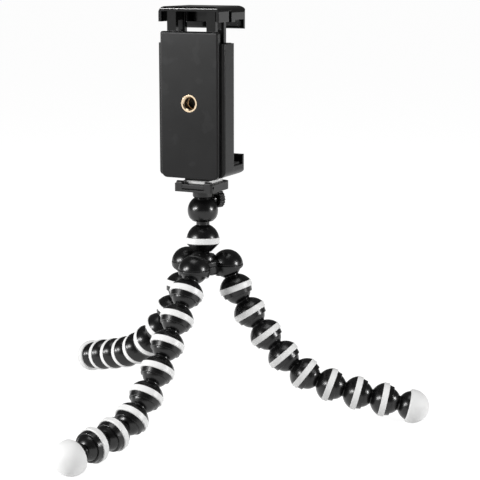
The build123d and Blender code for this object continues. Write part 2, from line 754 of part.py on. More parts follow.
def release_lever():
    """Lever on a pin between the lugs, whose lip holds the shoe's front ledge."""
    half = LUG_SPACING / 2 - LEVER_SIDE_GAP
    top = LEVER_HEIGHT / 2
    with BuildPart() as lever:
        with BuildSketch(pin_section(-half)):
            with BuildLine():
                Polyline(
                    (-LEVER_FRONT, -top),
                    (LEVER_BACK, -top),
                    (LEVER_BACK, top - LEVER_LIP),
                    (LEVER_BACK + LEVER_LIP_REACH, top - LEVER_LIP),
                    (LEVER_BACK + LEVER_LIP_REACH, top),
                    (-LEVER_FRONT, top),
                    close=True,
                )
            make_face()
            fillet(vertices().group_by(Axis.Y)[0], LEVER_ROUNDING)
            fillet(vertices().sort_by(Axis.X)[0:2].sort_by(Axis.Y)[-1], LEVER_ROUNDING)
            Circle(LEVER_PIN_RADIUS + SCREW_CLEARANCE, mode=Mode.SUBTRACT)
        extrude(amount=2 * half)
    save(lever, "release_lever")


def lever_pin():
    """Pin pressed through both lugs."""
    length = LUG_SPACING + 2 * LUG_WIDTH + 2 * LEVER_PIN_PROUD
    with BuildPart() as pin:
        with BuildSketch(pin_section(-length / 2)):
            Circle(LEVER_PIN_RADIUS)
        extrude(amount=length)
        chamfer(pin.edges().filter_by(GeomType.CIRCLE), LEVER_PIN_PROUD)
    save(pin, "lever_pin")


def shoe_plate():
    """White quick release shoe: dovetail below, front ledge for the lever's lip."""
    front = SHOE_FRONT - SHOE_FIT
    length = SHOE_BACK - SHOE_FIT + front
    ledge = LEVER_PIN_HEIGHT + LEVER_HEIGHT / 2 - LEVER_LIP - SHOE_FIT
    top_width = SHOE_WIDTH - 2 * SHOE_DOVETAIL
    with BuildPart() as shoe:
        with BuildSketch(shoe_section(SHOE_BACK - SHOE_FIT)):
            dovetail(0)
        extrude(amount=length)
        with BuildSketch(PLATFORM.offset(PLATFORM_HEIGHT)):
            box_between((-top_width / 2, -front), (top_width / 2, SHOE_BACK - SHOE_FIT))
        extrude(amount=SHOE_TOP - PLATFORM_HEIGHT)
        with BuildSketch(PLATFORM.offset(ledge)):
            with Locations((0, -front)):
                Rectangle(LUG_SPACING, 2 * SHOE_LEDGE_DEPTH)
        extrude(amount=SHOE_TOP, mode=Mode.SUBTRACT)
        with BuildSketch(PLATFORM.offset(SHOE_BASE)):
            Circle(THREAD_RADIUS + SCREW_CLEARANCE)
        extrude(amount=SHOE_THICKNESS, mode=Mode.SUBTRACT)
        with BuildSketch(PLATFORM.offset(SHOE_BASE)):
            Circle(MOUNTING_SCREW_HEAD_RADIUS + SHOE_FIT)
        extrude(amount=MOUNTING_SCREW_HEAD, mode=Mode.SUBTRACT)
    save(shoe, "shoe_plate")


def shoe_pad():
    """Dark rubber pad between the shoe and the clamp."""
    half = SHOE_WIDTH / 2 - SHOE_DOVETAIL - PAD_INSET
    low = (-half, -SHOE_FRONT + SHOE_LEDGE_DEPTH + SHOE_FIT + PAD_INSET)
    with BuildPart() as pad:
        with BuildSketch(PLATFORM.offset(SHOE_TOP)):
            box_between(low, (half, SHOE_BACK - SHOE_FIT - PAD_INSET))
            Circle(THREAD_RADIUS + SCREW_CLEARANCE, mode=Mode.SUBTRACT)
        extrude(amount=SHOE_PAD)
    save(pad, "shoe_pad")


def mounting_screw():
    """Camera screw from the shoe up into the clamp, with a coin slot below."""
    head_top = PLATFORM.offset(SHOE_BASE + MOUNTING_SCREW_HEAD)
    reach = CLAMP_BASE + MOUNTING_SCREW_REACH - SHOE_BASE - MOUNTING_SCREW_HEAD
    with BuildPart() as screw:
        with BuildSketch(head_top):
            Circle(MOUNTING_SCREW_HEAD_RADIUS)
        extrude(amount=-MOUNTING_SCREW_HEAD + SHOE_FIT / 2)
        with BuildSketch(head_top):
            Circle(THREAD_RADIUS)
        extrude(amount=reach)
        with BuildSketch(PLATFORM.offset(SHOE_BASE)):
            Rectangle(2 * MOUNTING_SCREW_HEAD_RADIUS, COIN_SLOT_WIDTH)
        extrude(amount=COIN_SLOT_DEPTH, mode=Mode.SUBTRACT)
    save(screw, "mounting_screw")


def plate_outline(height):
    """Outline of the plate and of what lies flush behind it, with rounded corners."""
    box_between((-PLATE_WIDTH / 2, 0), (PLATE_WIDTH / 2, height))
    fillet(vertices().group_by(Axis.Y)[0], PLATE_CORNER)
    fillet(vertices().group_by(Axis.Y)[-1], PLATE_TOP_CORNER)


def jaw_plan(half):
    """Outline of a jaw seen from above, with rounded rear corners."""
    box_between((-half, 0), (half, JAW_END))
    fillet(vertices().group_by(Axis.Y)[-1], JAW_PLAN_CORNER)


def clamp_front_cover():
    """Flat plate with rounded edges and the boss that carries the brass insert."""
    with BuildPart() as cover:
        with BuildSketch(clamp_face(0)):
            plate_outline(PLATE_HEIGHT)
        extrude(amount=-PLATE_THICKNESS)
        fillet(cover.faces().sort_by(Axis.Y)[0].edges(), PLATE_ROUNDING)
        with BuildSketch(clamp_face(PLATE_THICKNESS)):
            with Locations((0, INSERT_HEIGHT)):
                Circle(INSERT_BOSS_RADIUS)
        extrude(amount=-(INSERT_LENGTH - PLATE_THICKNESS + BODY_FLOOR))
        with BuildSketch(clamp_face(PLATE_THICKNESS)):
            with Locations(*cover_screw_places()):
                Circle(COVER_BOSS_RADIUS)
        extrude(amount=-(BODY_ROOM_BACK - PLATE_THICKNESS - COVER_BOSS_GAP))
        with BuildSketch(clamp_face(0)):
            with Locations((0, INSERT_HEIGHT)):
                Circle(INSERT_RADIUS)
        extrude(amount=-INSERT_LENGTH, mode=Mode.SUBTRACT)
        with BuildSketch(clamp_face(BODY_ROOM_BACK)):
            with Locations(*cover_screw_places()):
                Circle(COVER_SCREW_RADIUS)
        extrude(amount=COVER_SCREW_LENGTH, mode=Mode.SUBTRACT)
    save(cover, "clamp_front_cover")


def cover_screw_places():
    """Places of the cover's four screws on a forward facing plane."""
    heights = COVER_SCREW_HEIGHTS
    return [(side * COVER_SCREW_ACROSS, height) for side in (-1, 1) for height in heights]


def clamp_back_body():
    """Hollow body with side flanks, the lower jaw and the block for the base insert."""
    half = PLATE_WIDTH / 2
    flank = FLANK_WIDTH / 2
    room = BODY_ROOM_WIDTH / 2
    block = BASE_BLOCK_WIDTH / 2
    with BuildPart() as body:
        with BuildSketch(clamp_side()):
            with BuildLine():
                Polyline(
                    (0, 0),
                    (JAW_END, 0),
                    (JAW_END, JAW_FLOOR + JAW_LIP_HEIGHT),
                    (JAW_END - JAW_LIP, JAW_FLOOR + JAW_LIP_HEIGHT),
                    (JAW_END - JAW_LIP, JAW_FLOOR - PAD_THICKNESS),
                    (PHONE_PLANE, JAW_FLOOR - PAD_THICKNESS),
                    (PHONE_PLANE, JAW_FLOOR),
                    (0, JAW_FLOOR),
                    close=True,
                )
            make_face()
            fillet(vertices().group_by(Axis.Y)[0].sort_by(Axis.X)[-1], JAW_CORNER)
            fillet(vertices().group_by(Axis.Y)[-1], JAW_LIP_ROUNDING)
        extrude(amount=half, both=True)
        with BuildSketch(clamp_face(PLATE_THICKNESS)):
            plate_outline(PLATE_HEIGHT)
        extrude(amount=-JAW_END, mode=Mode.INTERSECT)
        with BuildSketch(Plane(origin=CLAMP_ORIGIN)):
            jaw_plan(half)
        extrude(amount=PLATE_HEIGHT, mode=Mode.INTERSECT)
        with BuildSketch(clamp_face(PLATE_THICKNESS)):
            box_between((-flank, BODY_FLOOR / 2), (flank, BODY_HEIGHT))
            fillet(vertices().group_by(Axis.Y)[0], PLATE_CORNER)
        extrude(amount=-(FLANK_BACK - PLATE_THICKNESS))
        with BuildSketch(Plane(origin=CLAMP_ORIGIN)):
            box_between((-flank, PLATE_THICKNESS), (flank, JAW_END))
            fillet(vertices().group_by(Axis.Y)[0], FLANK_ROUNDING)
        extrude(amount=PLATE_HEIGHT, mode=Mode.INTERSECT)
        with BuildSketch(clamp_face(PLATE_THICKNESS)):
            plate_outline(BODY_HEIGHT)
        extrude(amount=-(BODY_BACK - PLATE_THICKNESS))
        with BuildSketch(clamp_face(PLATE_THICKNESS)):
            box_between((-room, BODY_FLOOR), (room, BODY_HEIGHT + OVERRUN))
        extrude(amount=-(BODY_ROOM_BACK - PLATE_THICKNESS), mode=Mode.SUBTRACT)
        with BuildSketch(Plane(origin=CLAMP_ORIGIN)):
            box_between(
                (-block, HEAD_DEPTH - block),
                (block, HEAD_DEPTH + block / 2),
            )
        extrude(amount=JAW_FLOOR - PAD_THICKNESS)
        with BuildSketch(Plane(origin=CLAMP_ORIGIN)):
            with Locations((0, HEAD_DEPTH)):
                Circle(INSERT_RADIUS)
        extrude(amount=BASE_INSERT_LENGTH, mode=Mode.SUBTRACT)
        with BuildSketch(clamp_face(0)):
            with Locations(*cover_screw_places()):
                Circle(COVER_SCREW_RADIUS + SCREW_CLEARANCE)
        extrude(amount=-BODY_BACK - OVERRUN, mode=Mode.SUBTRACT)
        with BuildSketch(clamp_face(BODY_BACK - COVER_SCREW_HEAD)):
            with Locations(*cover_screw_places()):
                Circle(COVER_SCREW_HEAD_RADIUS + SCREW_CLEARANCE)
        extrude(amount=-OVERRUN, mode=Mode.SUBTRACT)
        pegs = [(side * spring_across(), spring_depth()) for side in (-1, 1)]
        with BuildSketch(Plane(origin=CLAMP_ORIGIN).offset(BODY_FLOOR)):
            with Locations(*pegs):
                Circle(SPRING_PEG_RADIUS)
        extrude(amount=SPRING_PEG_HEIGHT)
    save(body, "clamp_back_body")


def spring_across():
    return (POST_INSIDE + POST_OUTSIDE) / 2


def spring_depth():
    """Depth of the springs, midway between the slider's front and rear posts."""
    return (PLATE_THICKNESS + BODY_ROOM_BACK) / 2


def clamp_slider():
    """Upper jaw on four posts that slide in the body."""
    half = CAP_WIDTH / 2
    jaw = half - JAW_PAD_SIDE
    front_post = PLATE_THICKNESS + POST_GAP
    rear_post = BODY_ROOM_BACK - POST_GAP - POST_THICKNESS
    with BuildPart() as slider:
        with BuildSketch(clamp_side()):
            with BuildLine():
                Polyline(
                    (0, CAP_TOP),
                    (0, CAP_TOP - CAP_THICKNESS),
                    (CAP_WALL_START, CAP_TOP - CAP_THICKNESS),
                    (CAP_WALL_START, JAW_TOP),
                    (PHONE_PLANE, JAW_TOP),
                    (PHONE_PLANE, JAW_TOP + PAD_THICKNESS),
                    (JAW_END - JAW_LIP, JAW_TOP + PAD_THICKNESS),
                    (JAW_END - JAW_LIP, JAW_TOP - JAW_LIP_HEIGHT),
                    (JAW_END, JAW_TOP - JAW_LIP_HEIGHT),
                    (JAW_END, CAP_TOP),
                    close=True,
                )
            make_face()
            fillet(vertices().group_by(Axis.Y)[-1].sort_by(Axis.X)[-1], JAW_CORNER)
            fillet(vertices().group_by(Axis.Y)[-1].sort_by(Axis.X)[0], CAP_FRONT_ROUNDING)
            fillet(vertices().group_by(Axis.Y)[0], JAW_LIP_ROUNDING)
        extrude(amount=half, both=True)
        with BuildSketch(clamp_face(0)):
            box_between((-half, POST_FOOT), (half, CAP_TOP))
            fillet(vertices().group_by(Axis.Y)[-1], CAP_ROUNDING)
        extrude(amount=-JAW_END, mode=Mode.INTERSECT)
        with BuildSketch(Plane(origin=CLAMP_ORIGIN)):
            jaw_plan(half)
        extrude(amount=CAP_TOP, mode=Mode.INTERSECT)
        for side in (-1, 1):
            outer = side * half
            inner = side * (half - SKIRT_THICKNESS)
            with BuildSketch(clamp_face(0)):
                low = (min(outer, inner), SKIRT_LOW)
                box_between(low, (max(outer, inner), CAP_TOP - CAP_THICKNESS))
            extrude(amount=-SKIRT_BACK)
            post_low = min(side * POST_INSIDE, side * POST_OUTSIDE)
            post_high = max(side * POST_INSIDE, side * POST_OUTSIDE)
            for depth in (front_post, rear_post):
                with BuildSketch(clamp_face(depth)):
                    box_between((post_low, POST_FOOT), (post_high, CAP_TOP - CAP_THICKNESS))
                extrude(amount=-POST_THICKNESS)
            with BuildSketch(clamp_face(front_post)):
                box_between((post_low, POST_FOOT), (post_high, POST_FOOT + POST_FOOT_HEIGHT))
            extrude(amount=-(rear_post - front_post))
    save(slider, "clamp_slider")


def clamp_springs():
    """Two hidden springs between the body's floor and the slider's feet."""
    low = BODY_FLOOR + SPRING_GAP
    for name, side in (("clamp_spring_left", -1), ("clamp_spring_right", 1)):
        with BuildPart() as spring:
            with BuildSketch(Plane(origin=CLAMP_ORIGIN).offset(low)):
                with Locations((side * spring_across(), spring_depth())):
                    Circle(SPRING_RADIUS)
                    Circle(SPRING_BORE, mode=Mode.SUBTRACT)
            extrude(amount=POST_FOOT - SPRING_GAP - low)
        save(spring, name)


def clamp_insert():
    """Brass insert in the plate, threaded for a camera screw, with a bevelled mouth."""
    with BuildPart() as insert:
        with BuildSketch(clamp_face(0)):
            with Locations((0, INSERT_HEIGHT)):
                Circle(INSERT_RADIUS - RING_GLUE)
                Circle(THREAD_RADIUS + THREAD_FIT, mode=Mode.SUBTRACT)
        extrude(amount=-(INSERT_LENGTH - RING_GLUE))
        mouth = insert.faces().sort_by(Axis.Y)[0].edges().sort_by(SortBy.LENGTH)[0]
        chamfer(mouth, INSERT_CHAMFER)
    save(insert, "clamp_insert")


def clamp_base_insert():
    """Brass insert in the clamp's underside, on the mounting screw."""
    with BuildPart() as insert:
        with BuildSketch(Plane(origin=CLAMP_ORIGIN)):
            with Locations((0, HEAD_DEPTH)):
                Circle(INSERT_RADIUS - RING_GLUE)
                Circle(THREAD_RADIUS + THREAD_FIT, mode=Mode.SUBTRACT)
        extrude(amount=BASE_INSERT_LENGTH - RING_GLUE)
    save(insert, "clamp_base_insert")


def clamp_back_pad():
    """Rubber pad that the phone's back lies on."""
    half = PLATE_WIDTH / 2 - JAW_PAD_SIDE
    with BuildPart() as pad:
        with BuildSketch(clamp_face(BODY_BACK + PAD_SINK)):
            low = (-half, BACK_PAD_START)
            box_between(low, (half, BACK_PAD_START + BACK_PAD_HEIGHT))
            fillet(vertices(), BACK_PAD_CORNER)
        extrude(amount=-(PHONE_PLANE - BODY_BACK - PAD_SINK))
    save(pad, "clamp_back_pad")


def jaw_pad(name, height):
    """Rubber strip in a jaw, under or over the phone's edge."""
    half = JAW_PAD_WIDTH / 2
    length = JAW_END - JAW_LIP - PHONE_PLANE - 2 * PAD_SINK
    with BuildPart() as pad:
        with BuildSketch(Plane(origin=CLAMP_ORIGIN).offset(height)):
            low = (-half, PHONE_PLANE + PAD_SINK)
            box_between(low, (half, PHONE_PLANE + PAD_SINK + length))
        extrude(amount=PAD_THICKNESS - PAD_SINK)
    save(pad, name)


def clamp_cover_screws():
    """Four screws from the body's rear wall into the cover's bosses."""
    with BuildPart() as screws:
        with BuildSketch(clamp_face(BODY_BACK)):
            with Locations(*cover_screw_places()):
                Circle(COVER_SCREW_HEAD_RADIUS)
        extrude(amount=COVER_SCREW_HEAD)
        with BuildSketch(clamp_face(BODY_BACK - COVER_SCREW_HEAD)):
            with Locations(*cover_screw_places()):
                Circle(COVER_SCREW_RADIUS)
        extrude(amount=COVER_SCREW_LENGTH)
    save(screws, "clamp_cover_screws")


os.makedirs("parts", exist_ok=True)
for leg_name, leg_planes in LEG_FRAMES.items():
    for number, plane in enumerate(leg_planes[:-1], start=1):
        leg_segment(f"{leg_name}_segment_{number}", plane)
    foot_core(f"{leg_name}_foot_core", leg_planes[-1])
    foot_cap(f"{leg_name}_foot_cap", leg_planes[-1])
hub_shell("hub_upper_shell", Keep.TOP, 1)
hub_shell("hub_lower_shell", Keep.BOTTOM, -1)
hub_screws()
neck_segment()
neck_ring()
head_housing()
head_collar()
lock_knob()
lock_screw()
platform_base()
platform_screw()
release_lever()
lever_pin()
shoe_plate()
shoe_pad()
mounting_screw()
clamp_front_cover()
clamp_back_body()
clamp_slider()
clamp_springs()
clamp_insert()
clamp_base_insert()
clamp_back_pad()
jaw_pad("lower_jaw_pad", JAW_FLOOR - PAD_THICKNESS + PAD_SINK)
jaw_pad("upper_jaw_pad", JAW_TOP)
clamp_cover_screws()
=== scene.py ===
import json
import math

import bmesh
import bpy
from mathutils import Matrix, Vector


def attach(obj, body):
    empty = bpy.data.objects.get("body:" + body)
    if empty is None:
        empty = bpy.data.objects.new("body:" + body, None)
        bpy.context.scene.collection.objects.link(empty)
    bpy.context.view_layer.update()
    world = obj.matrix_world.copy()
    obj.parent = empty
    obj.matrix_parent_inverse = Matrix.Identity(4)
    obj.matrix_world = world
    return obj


# Flexible leg tripod in metres, +Z up, dressed on its CAD nodes.
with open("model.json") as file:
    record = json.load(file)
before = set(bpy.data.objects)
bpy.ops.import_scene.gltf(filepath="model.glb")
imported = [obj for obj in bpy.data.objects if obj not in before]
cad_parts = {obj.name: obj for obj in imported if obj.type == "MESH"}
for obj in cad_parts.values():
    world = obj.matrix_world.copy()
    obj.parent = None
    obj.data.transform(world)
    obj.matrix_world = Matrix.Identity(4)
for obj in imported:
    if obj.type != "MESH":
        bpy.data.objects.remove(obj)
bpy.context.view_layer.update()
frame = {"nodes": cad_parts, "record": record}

record = frame["record"]
joints = {joint["name"]: joint for joint in record["behaviour"]["joints"]}
slots = {part["node"]: part["material_slot"] for part in record["subparts"]}
LEGS = ("right_leg", "front_leg", "rear_leg")
SEGMENTS = 8

# Sizes of the leg segments, from a ball's centre towards the next ball
RING_START = 0.01031
RING_END = 0.01329
RING_INSIDE = 0.00701

# Parting line of the hub, below the hub's centre
SEAM_DROP = 0.0008
SEAM_HALF = 0.00036

# Thread in the brass insert of the clamp: a 1/4 inch camera thread
THREAD_PITCH = 0.00127
THREAD_CREST = 0.0025
THREAD_SUNK = 0.00006
THREAD_BASE_HALF = 0.0005
THREAD_CREST_HALF = 0.00009
THREAD_START = 0.0011
THREAD_END = 0.0002
THREAD_STEPS = 48
THREAD_RUN_IN = 6  # the ridge reaches its height in one sixth of its run
THREAD_LEAST = 0.2
MM = 0.001

# Camera, from the fit of the clamp and of the legs' rings
NECK_PIVOT_RISE = 0.0012  # from the hub's centre up to the neck's lower ball
HUB = Vector(joints["neck_swing"]["pos_m"]) - Vector((0, 0, NECK_PIVOT_RISE))
CAMERA_FROM_HUB = Vector((0.30189, -0.59302, 0.14051))
CAMERA_YAW = math.radians(25.43)
CAMERA_PITCH = math.radians(11.0)
FOCAL_SHARE = 1398.2 / 480
SENSOR = 36.0

# Lamps: turn and rise from the camera's direction, distance, width, height, power
LAMPS = {
    "left_softbox": (-71, 7, 0.95, 0.14, 0.14, 3.5),
    "right_softbox": (70, 7, 0.85, 0.15, 0.16, 4.2),
    "plate_softbox": (-54, 12, 0.65, 0.14, 0.07, 2.2),
    "top_softbox": (-10, 75, 0.9, 0.5, 0.5, 2.3),
}
LAMP_AIM = Vector((0, 0, 0.03))  # above the hub
WORLD_GREY = 0.12
FLOOR_SIZE = 60.0
FLOOR_GLOW = 0.95
FLOOR_SEEN = (0.24, 0.24, 0.24, 1)
FLOOR_LIT = (0.8, 0.8, 0.8, 1)
FLOOR_ROUGHNESS = 0.9
WHITE = (1, 1, 1, 1)
CLIP_NEAR = 0.01
CLIP_FAR = 100.0

# Shading shares used by every finish
CLOUD_BAND = (0.42, 0.68)  # noise values between which the worn colour comes in
EDGE_BAND = (0.995, 0.85)  # likeness of the flat and the rounded normal at an edge
EDGE_SAMPLES = 4
SPECKLE_BAND = (0.4, 0.6)
SPECKLE_LEAST = 0.25
HAIR_BAND = (0.66, 0.7)
HAIR_STRETCH = 14.0
HAIR_TURNS = ((0.3, 0.2, 0.6), (1.1, 0.7, 2.0))
HAIR_ROUGHENING = 0.25
GRAIN_STRENGTH = 0.6
SEAM_RELIEF = 20.0  # in grain depths
SEAM_DULLING = 0.7
SEAM_COLOUR = (0, 0, 0, 1)
ROUGHNESS_GAIN = 2.0  # each noise swings by half a spread, which this makes a whole one

# Detail and roughness of each noise
GRAIN_NOISE = (3.0, 0.55)
CLOUD_NOISE = (4.0, 0.6)
SPECKLE_NOISE = (3.0, 0.6)
HAIR_NOISE = (2.0, 0.4)


def new_group(name, inputs, outputs):
    """Shader node group with named sockets; gives the group, its nodes and its ends."""
    group = bpy.data.node_groups.new(name, "ShaderNodeTree")
    for label, kind, value in inputs:
        socket = group.interface.new_socket(label, in_out="INPUT", socket_type=kind)
        if value is not None:
            socket.default_value = value
    for label, kind in outputs:
        group.interface.new_socket(label, in_out="OUTPUT", socket_type=kind)
    start = group.nodes.new("NodeGroupInput")
    end = group.nodes.new("NodeGroupOutput")
    return group, start, end


FLOAT = "NodeSocketFloat"
COLOR = "NodeSocketColor"
VECTOR = "NodeSocketVector"


def math_node(tree, operation, first, second):
    """Math node whose two ends are sockets or numbers; gives its output."""
    node = tree.nodes.new("ShaderNodeMath")
    node.operation = operation
    for socket, value in zip(node.inputs, (first, second)):
        if isinstance(value, (int, float)):
            socket.default_value = value
        else:
            tree.links.new(value, socket)
    return node.outputs["Value"]


def mixed(tree, factor, first, second):
    """Colour mix of two sockets or colours; gives its output."""
    node = tree.nodes.new("ShaderNodeMix")
    node.data_type = "RGBA"
    for index, value in ((0, factor), (6, first), (7, second)):
        if isinstance(value, bpy.types.NodeSocket):
            tree.links.new(value, node.inputs[index])
        else:
            node.inputs[index].default_value = value
    return node.outputs[2]


def noise(tree, coordinates, scale, detail, roughness):
    """Noise texture at the given coordinates; gives its value."""
    node = tree.nodes.new("ShaderNodeTexNoise")
    for label, value in (("Scale", scale), ("Detail", detail), ("Roughness", roughness)):
        if isinstance(value, bpy.types.NodeSocket):
            tree.links.new(value, node.inputs[label])
        else:
            node.inputs[label].default_value = value
    tree.links.new(coordinates, node.inputs["Vector"])
    return node.outputs["Fac"]


def mapped(tree, value, low, high, new_low, new_high):
    """Value carried from one range to another; gives the result."""
    node = tree.nodes.new("ShaderNodeMapRange")
    tree.links.new(value, node.inputs["Value"])
    for label, limit in (("From Min", low), ("From Max", high), ("To Min", new_low), ("To Max", new_high)):
        if isinstance(limit, bpy.types.NodeSocket):
            tree.links.new(limit, node.inputs[label])
        else:
            node.inputs[label].default_value = limit
    return node.outputs["Result"]


def object_place(tree):
    """Coordinates that stay on the piece as it moves."""
    return tree.nodes.new("ShaderNodeTexCoord").outputs["Object"]


def build_moulded_grain():
    """Fine moulded grain: tone, roughness and height that vary over the surface."""
    group, start, end = new_group(
        "moulded_grain",
        [
            ("Colour", COLOR, (0.5, 0.5, 0.5, 1)),
            ("Worn Colour", COLOR, (0.6, 0.6, 0.6, 1)),
            ("Grain Scale", FLOAT, 3000.0),
            ("Cloud Scale", FLOAT, 60.0),
            ("Roughness", FLOAT, 0.4),
            ("Roughness Spread", FLOAT, 0.08),
        ],
        [("Colour", COLOR), ("Roughness", FLOAT), ("Height", FLOAT)],
    )
    place = object_place(group)
    grain = noise(group, place, start.outputs["Grain Scale"], *GRAIN_NOISE)
    cloud = noise(group, place, start.outputs["Cloud Scale"], *CLOUD_NOISE)
    patch = mapped(group, cloud, *CLOUD_BAND, 0.0, 1.0)
    colour = mixed(group, patch, start.outputs["Colour"], start.outputs["Worn Colour"])
    swing = math_node(group, "SUBTRACT", cloud, 0.5)
    swing = math_node(group, "MULTIPLY", swing, start.outputs["Roughness Spread"])
    fine = math_node(group, "SUBTRACT", grain, 0.5)
    fine = math_node(group, "MULTIPLY", fine, start.outputs["Roughness Spread"])
    total = math_node(group, "ADD", swing, fine)
    total = math_node(group, "MULTIPLY", total, ROUGHNESS_GAIN)
    rough = math_node(group, "ADD", total, start.outputs["Roughness"])
    group.links.new(colour, end.inputs["Colour"])
    group.links.new(rough, end.inputs["Roughness"])
    group.links.new(grain, end.inputs["Height"])
    return group


def build_edge_wear_and_highlight():
    """Mask of rounded edges, broken up by noise, for worn edges and painted edge highlights, and the
    normal that rounds them.
    """
    group, start, end = new_group(
        "edge_wear_and_highlight",
        [("Radius", FLOAT, 0.0002), ("Amount", FLOAT, 0.5), ("Scale", FLOAT, 900.0)],
        [("Mask", FLOAT), ("Normal", VECTOR)],
    )
    bevel = group.nodes.new("ShaderNodeBevel")
    bevel.samples = EDGE_SAMPLES
    group.links.new(start.outputs["Radius"], bevel.inputs["Radius"])
    flat = group.nodes.new("ShaderNodeNewGeometry")
    dot = group.nodes.new("ShaderNodeVectorMath")
    dot.operation = "DOT_PRODUCT"
    group.links.new(bevel.outputs["Normal"], dot.inputs[0])
    group.links.new(flat.outputs["Normal"], dot.inputs[1])
    edge = mapped(group, dot.outputs["Value"], *EDGE_BAND, 0.0, 1.0)
    speckle = noise(group, object_place(group), start.outputs["Scale"], *SPECKLE_NOISE)
    broken = mapped(group, speckle, *SPECKLE_BAND, SPECKLE_LEAST, 1.0)
    mask = math_node(group, "MULTIPLY", edge, broken)
    mask = math_node(group, "MULTIPLY", mask, start.outputs["Amount"])
    group.links.new(mask, end.inputs["Mask"])
    group.links.new(bevel.outputs["Normal"], end.inputs["Normal"])
    return group


def build_fine_scratches():
    """Hairlines in two directions, as a mask."""
    group, start, end = new_group(
        "fine_scratches",
        [("Scale", FLOAT, 120.0), ("Amount", FLOAT, 0.3)],
        [("Mask", FLOAT)],
    )
    place = object_place(group)
    lines = []
    for turn in HAIR_TURNS:
        mapping = group.nodes.new("ShaderNodeMapping")
        mapping.inputs["Rotation"].default_value = turn
        mapping.inputs["Scale"].default_value = (1.0, HAIR_STRETCH, 1.0)
        group.links.new(place, mapping.inputs["Vector"])
        streak = noise(group, mapping.outputs["Vector"], start.outputs["Scale"], *HAIR_NOISE)
        lines.append(mapped(group, streak, *HAIR_BAND, 0.0, 1.0))
    mask = math_node(group, "MAXIMUM", lines[0], lines[1])
    mask = math_node(group, "MULTIPLY", mask, start.outputs["Amount"])
    group.links.new(mask, end.inputs["Mask"])
    return group


def build_parting_line():
    """Level line at one height: a dark mask and a height that sinks in it."""
    group, start, end = new_group(
        "parting_line",
        [("Level", FLOAT, 0.0), ("Half Width", FLOAT, SEAM_HALF)],
        [("Mask", FLOAT), ("Height", FLOAT)],
    )
    split = group.nodes.new("ShaderNodeSeparateXYZ")
    group.links.new(object_place(group), split.inputs["Vector"])
    off = math_node(group, "SUBTRACT", split.outputs["Z"], start.outputs["Level"])
    off = math_node(group, "ABSOLUTE", off, 0.0)
    mask = mapped(group, off, 0.0, start.outputs["Half Width"], 1.0, 0.0)
    height = math_node(group, "SUBTRACT", 1.0, mask)
    group.links.new(mask, end.inputs["Mask"])
    group.links.new(height, end.inputs["Height"])
    return group


GRAIN = build_moulded_grain()
PARTING_LINE = build_parting_line()
EDGE_WEAR_AND_HIGHLIGHT = build_edge_wear_and_highlight()
SCRATCHES = build_fine_scratches()


def placed(tree, group, values):
    """Node group set in a material with its own values."""
    node = tree.nodes.new("ShaderNodeGroup")
    node.node_tree = group
    for label, value in values.items():
        node.inputs[label].default_value = value
    return node


def finish_material(
    name,
    colour,
    worn,
    roughness,
    spread,
    grain_scale,
    grain_depth,
    wear_and_highlight_colour,
    edge_wear_and_highlight_amount,
    scratch_amount,
    metallic=0.0,
    specular=0.5,
    edge_radius=0.0002,
    seam=None,
):
    """Principled material with grain, edges coloured as wear and as a painted edge highlight, and
    hairlines.
    """
    material = bpy.data.materials.new(name)
    material.use_nodes = True
    tree = material.node_tree
    shader = tree.nodes["Principled BSDF"]
    grain = placed(
        tree,
        GRAIN,
        {
            "Colour": (*colour, 1),
            "Worn Colour": (*worn, 1),
            "Grain Scale": grain_scale,
            "Roughness": roughness,
            "Roughness Spread": spread,
        },
    )
    edges = placed(tree, EDGE_WEAR_AND_HIGHLIGHT, {"Radius": edge_radius, "Amount": edge_wear_and_highlight_amount})
    hairs = placed(tree, SCRATCHES, {"Amount": scratch_amount})
    # Edges take the edge colour: wear, and on the black finishes a lighter painted edge highlight;
    # hairlines take the same colour.
    base = mixed(tree, edges.outputs["Mask"], grain.outputs["Colour"], (*wear_and_highlight_colour, 1))
    base = mixed(tree, hairs.outputs["Mask"], base, (*wear_and_highlight_colour, 1))
    height = grain.outputs["Height"]
    if seam is not None:
        line = placed(tree, PARTING_LINE, {"Level": seam})
        base = mixed(tree, line.outputs["Mask"], base, SEAM_COLOUR)
        sunk = math_node(tree, "MULTIPLY", line.outputs["Height"], SEAM_RELIEF)
        height = math_node(tree, "ADD", height, sunk)
        dull = math_node(tree, "MULTIPLY", line.outputs["Mask"], SEAM_DULLING)
    tree.links.new(base, shader.inputs["Base Color"])
    rough = math_node(tree, "MULTIPLY", hairs.outputs["Mask"], HAIR_ROUGHENING)
    rough = math_node(tree, "ADD", grain.outputs["Roughness"], rough)
    if seam is not None:
        rough = math_node(tree, "ADD", rough, dull)
    tree.links.new(rough, shader.inputs["Roughness"])
    bump = tree.nodes.new("ShaderNodeBump")
    bump.inputs["Distance"].default_value = grain_depth
    bump.inputs["Strength"].default_value = GRAIN_STRENGTH
    tree.links.new(height, bump.inputs["Height"])
    tree.links.new(edges.outputs["Normal"], bump.inputs["Normal"])
    tree.links.new(bump.outputs["Normal"], shader.inputs["Normal"])
    shader.inputs["Metallic"].default_value = metallic
    shader.inputs["Specular IOR Level"].default_value = specular
    return material
